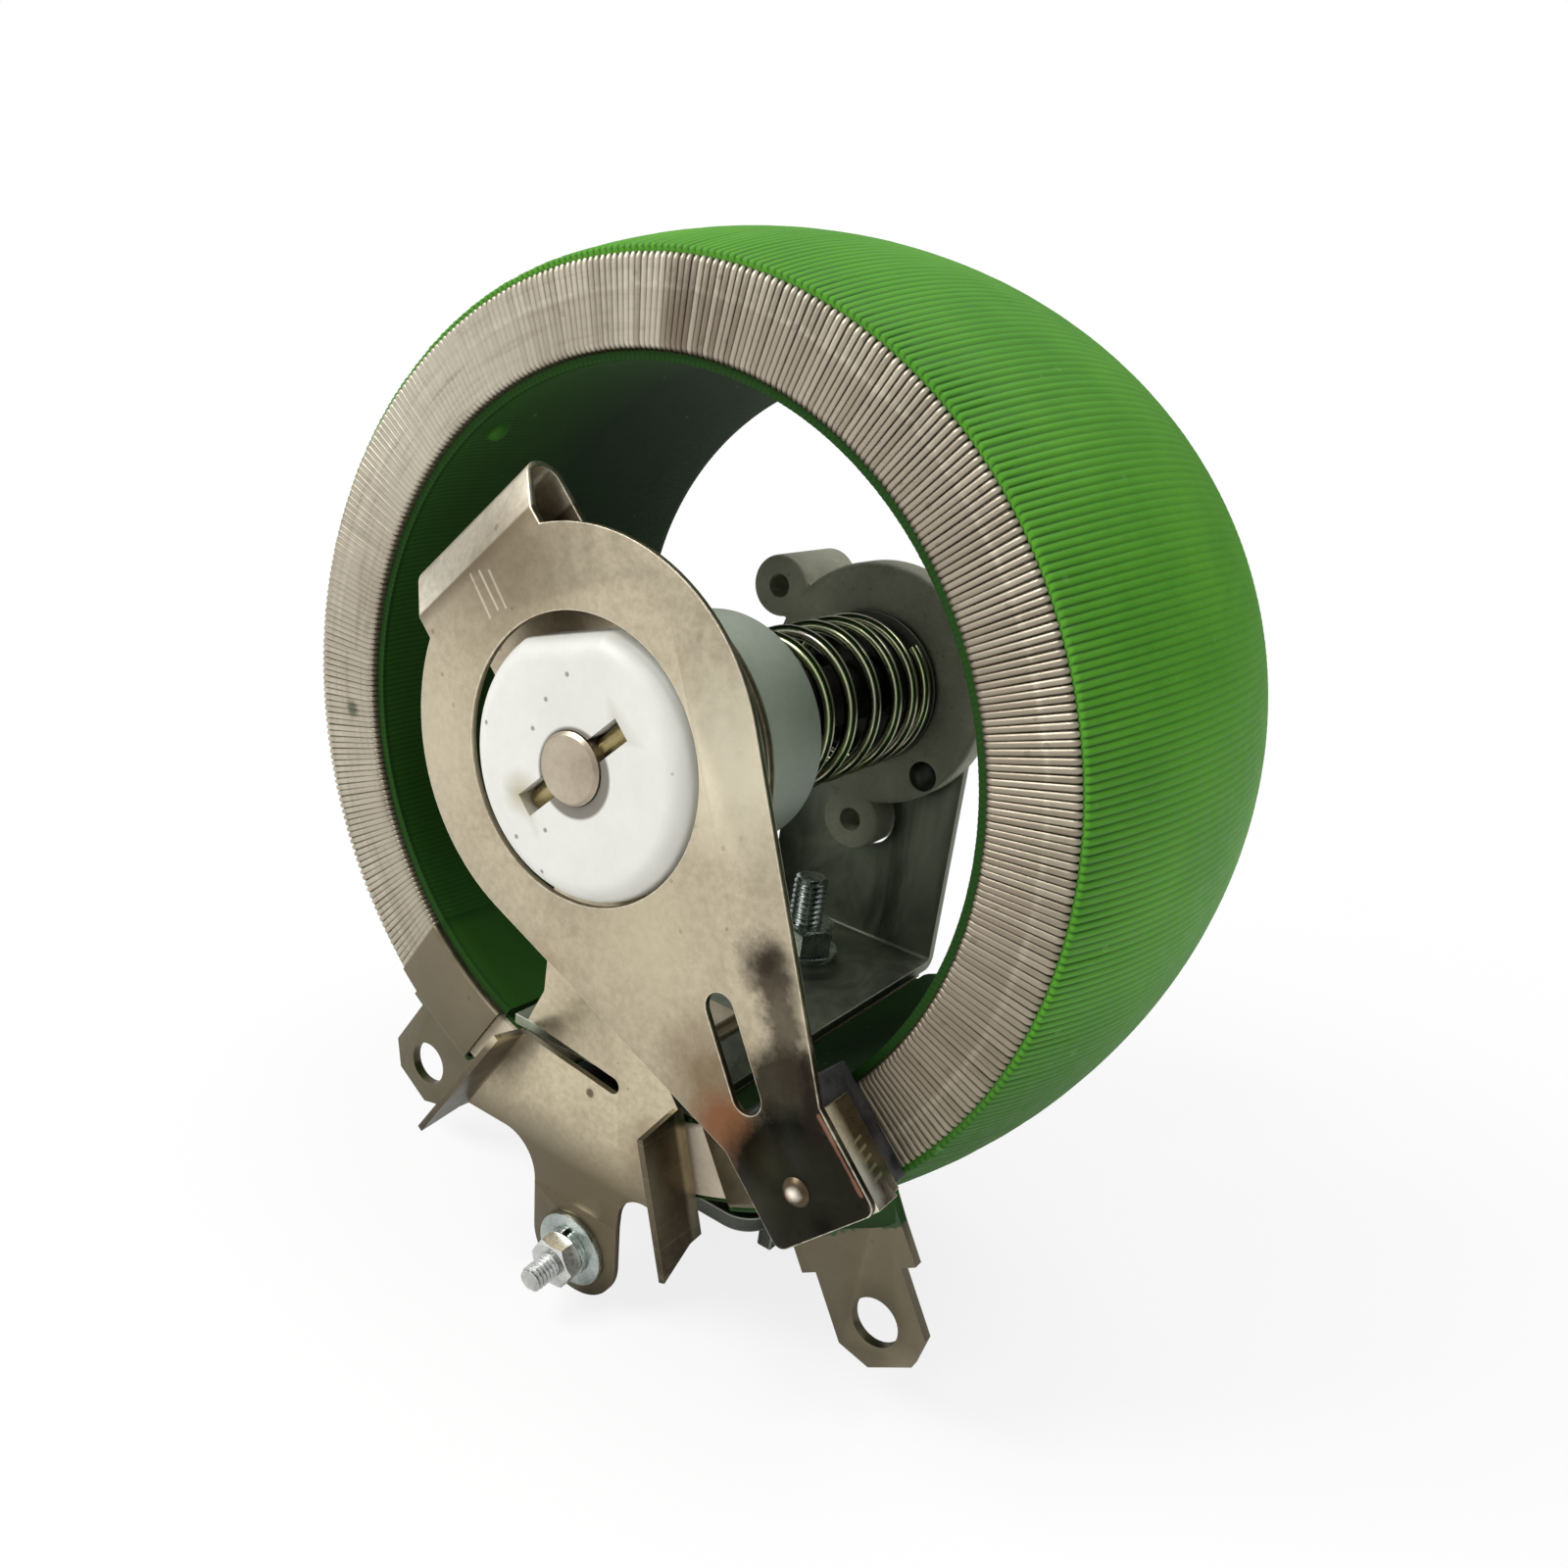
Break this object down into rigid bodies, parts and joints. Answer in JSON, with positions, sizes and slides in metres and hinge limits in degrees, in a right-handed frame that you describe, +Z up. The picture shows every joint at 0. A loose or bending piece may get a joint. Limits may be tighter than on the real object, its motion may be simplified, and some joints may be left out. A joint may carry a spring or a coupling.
{
  "type": "ring rheostat",
  "caption": "Open wire-wound ring rheostat: enamelled coil on a C-shaped ceramic core, folded wiper arm on a shaft, stop plate, end lugs and a panel bracket.",
  "frame": {"origin": "on the shaft axis, in the plane of the three bearing ears' rear faces, where the panel lies", "axes": "+Y along the shaft out through the panel to the knob, +Z up with the gap in the ring at the bottom, +X to the right seen from the wiper side"},
  "size_m": [0.141, 0.1218, 0.1585],
  "materials": {
    "core_ceramic": "matt unglazed ceramic",
    "resistance_wire": "dull wound resistance wire, polished where the brush runs",
    "green_enamel": "gloss vitreous enamel over the turns",
    "nickel_sheet": "nickel-plated sheet, satin",
    "nickel_hardware": "nickel-plated",
    "zinc_hardware": "bright zinc-plated",
    "mica": "flaky silvery mica",
    "brown_fibre": "vulcanised fibre",
    "grey_steel": "dull plated steel",
    "grey_casting": "as-cast dark grey",
    "brass": "turned",
    "spring_steel": "blackened spring steel with a temper sheen",
    "shaft_steel": "turned and plated",
    "hub_ceramic": "smooth white steatite",
    "carbon": "pressed graphite block"
  },
  "bodies": {
    "frame_and_ring": {"ceramic_core": "core_ceramic", "resistance_winding": "resistance_wire", "enamel_coat": "green_enamel", "right_end_band": "nickel_sheet", "left_end_band": "nickel_sheet", "collector_plate": "nickel_sheet", "collector_carrier": "nickel_sheet", "carrier_mica": "mica", "fibre_washer": "brown_fibre", "terminal_screw": "nickel_hardware", "terminal_washer": "nickel_hardware", "terminal_lock_washer": "zinc_hardware", "terminal_nut": "nickel_hardware", "foot_mica": "mica", "clamp_saddle": "zinc_hardware", "clamp_bolts": "zinc_hardware", "clamp_washers": "zinc_hardware", "clamp_nuts": "zinc_hardware", "mounting_bracket": "grey_steel", "bearing_flange": "grey_casting", "bearing_rivets": "zinc_hardware", "shaft_bush": "brass"},
    "wiper_and_shaft": {"spring_seat_washer": "zinc_hardware", "rear_washer": "zinc_hardware", "retaining_clip": "spring_steel", "control_shaft": "shaft_steel", "cross_pin": "brass", "hub_cap": "hub_ceramic", "hub_sleeve": "hub_ceramic", "wiper_arm": "nickel_sheet", "brush_holder": "nickel_sheet", "carbon_brush": "carbon", "brush_rivet": "nickel_hardware", "return_spring": "spring_steel"}
  },
  "joints": [
    {"name": "wiper_turn", "type": "hinge", "parent": "frame_and_ring", "child": "wiper_and_shaft", "pos_m": [0, 0, 0], "axis": [0, -1, 0], "range_deg": [-16.4, 287]}
  ]
}
